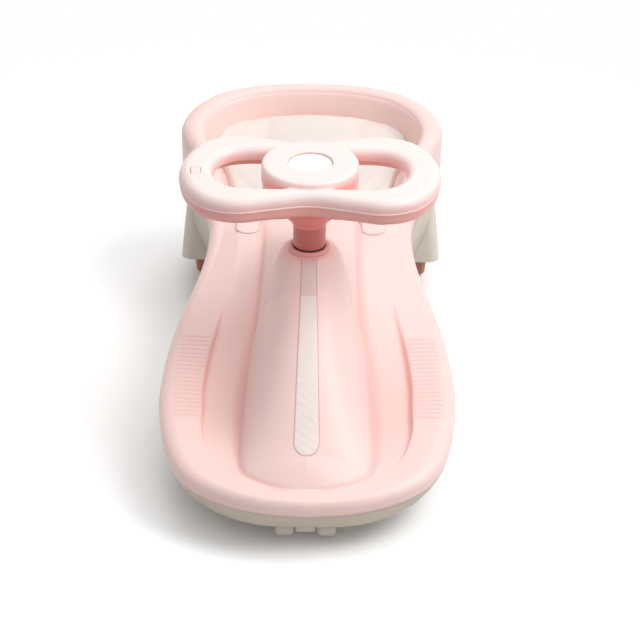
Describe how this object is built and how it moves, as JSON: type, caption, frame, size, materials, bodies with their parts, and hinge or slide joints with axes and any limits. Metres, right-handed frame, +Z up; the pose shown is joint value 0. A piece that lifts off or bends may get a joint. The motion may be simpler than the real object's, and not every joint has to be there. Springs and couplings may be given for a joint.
{
  "type": "kids ride-on swing car",
  "caption": "Child's swing car propelled by turning a butterfly steering wheel, with a raised front ridge and light strip, ribbed foot rests and a bucket seat.",
  "frame": {"origin": "centre of the bounding box on the floor, under the body", "axes": "+Z up, the nose points to -Y, +X is the left hand of a rider who faces the nose; lengths run along Y"},
  "size_m": [0.3566, 0.77, 0.378],
  "materials": {
    "pink_plastic": "satin",
    "cream_plastic": "satin",
    "white_badge": "gloss",
    "dusty_tyre": "matte",
    "black_rubber": "matte",
    "bright_steel": "brushed",
    "milky_lens": "satin",
    "grey_plastic": "matte",
    "cream_pad": "soft grain"
  },
  "bodies": {
    "car_body": {"upper_body": "pink_plastic", "lower_body": "cream_plastic", "seat_pad": "cream_pad", "wheel_arch_left": "cream_plastic", "wheel_arch_right": "cream_plastic", "rear_axle": "bright_steel", "rear_cap_left": "cream_plastic", "rear_cap_right": "cream_plastic", "axle_bracket_left": "cream_plastic", "axle_bracket_right": "cream_plastic", "column_collar": "pink_plastic", "column_seal": "black_rubber", "column_housing": "cream_plastic", "lower_bush": "grey_plastic", "upper_bush": "grey_plastic", "light_lens": "milky_lens", "light_board": "grey_plastic"},
    "steering": {"steering_column": "pink_plastic", "column_core": "bright_steel", "steering_arm": "grey_plastic", "front_axle": "bright_steel", "front_cap_left": "cream_plastic", "front_cap_right": "cream_plastic", "roller_pin": "bright_steel", "wheel_upper_cover": "pink_plastic", "wheel_lower_cover": "pink_plastic", "badge_cap": "white_badge", "button_switch": "grey_plastic", "sound_unit": "grey_plastic", "battery_pack": "grey_plastic"},
    "rear_wheel_left": {"rear_tyre_left": "dusty_tyre", "rear_hub_left": "cream_plastic"},
    "rear_wheel_right": {"rear_tyre_right": "dusty_tyre", "rear_hub_right": "cream_plastic"},
    "front_wheel_left": {"front_tyre_left": "dusty_tyre", "front_hub_left": "cream_plastic"},
    "front_wheel_right": {"front_tyre_right": "dusty_tyre", "front_hub_right": "cream_plastic"},
    "roller_left": {"anti_tip_roller_left": "cream_plastic"},
    "roller_right": {"anti_tip_roller_right": "cream_plastic"},
    "button": {"music_button": "pink_plastic"}
  },
  "joints": [
    {"name": "steering_turn", "type": "hinge", "parent": "car_body", "child": "steering", "pos_m": [0, -0.115, 0.262], "axis": [0, 0, 1], "continuous": true},
    {"name": "rear_spin_left", "type": "hinge", "parent": "car_body", "child": "rear_wheel_left", "pos_m": [0.146, 0.3, 0.048], "axis": [1, 0, 0], "continuous": true},
    {"name": "front_spin_left", "type": "hinge", "parent": "steering", "child": "front_wheel_left", "pos_m": [0.055, -0.175, 0.042], "axis": [1, 0, 0], "continuous": true},
    {"name": "roller_spin_left", "type": "hinge", "parent": "steering", "child": "roller_left", "pos_m": [0.0245, -0.35201, 0.0255], "axis": [1, 0, 0], "continuous": true},
    {"name": "rear_spin_right", "type": "hinge", "parent": "car_body", "child": "rear_wheel_right", "pos_m": [-0.146, 0.3, 0.048], "axis": [1, 0, 0], "continuous": true},
    {"name": "front_spin_right", "type": "hinge", "parent": "steering", "child": "front_wheel_right", "pos_m": [-0.055, -0.175, 0.042], "axis": [1, 0, 0], "continuous": true},
    {"name": "roller_spin_right", "type": "hinge", "parent": "steering", "child": "roller_right", "pos_m": [-0.0245, -0.35201, 0.0255], "axis": [1, 0, 0], "continuous": true},
    {"name": "button_press", "type": "slide", "parent": "steering", "child": "button", "axis": [0, 0, -1], "range_m": [0, 0.0012], "stiffness_N_per_m": 300}
  ]
}
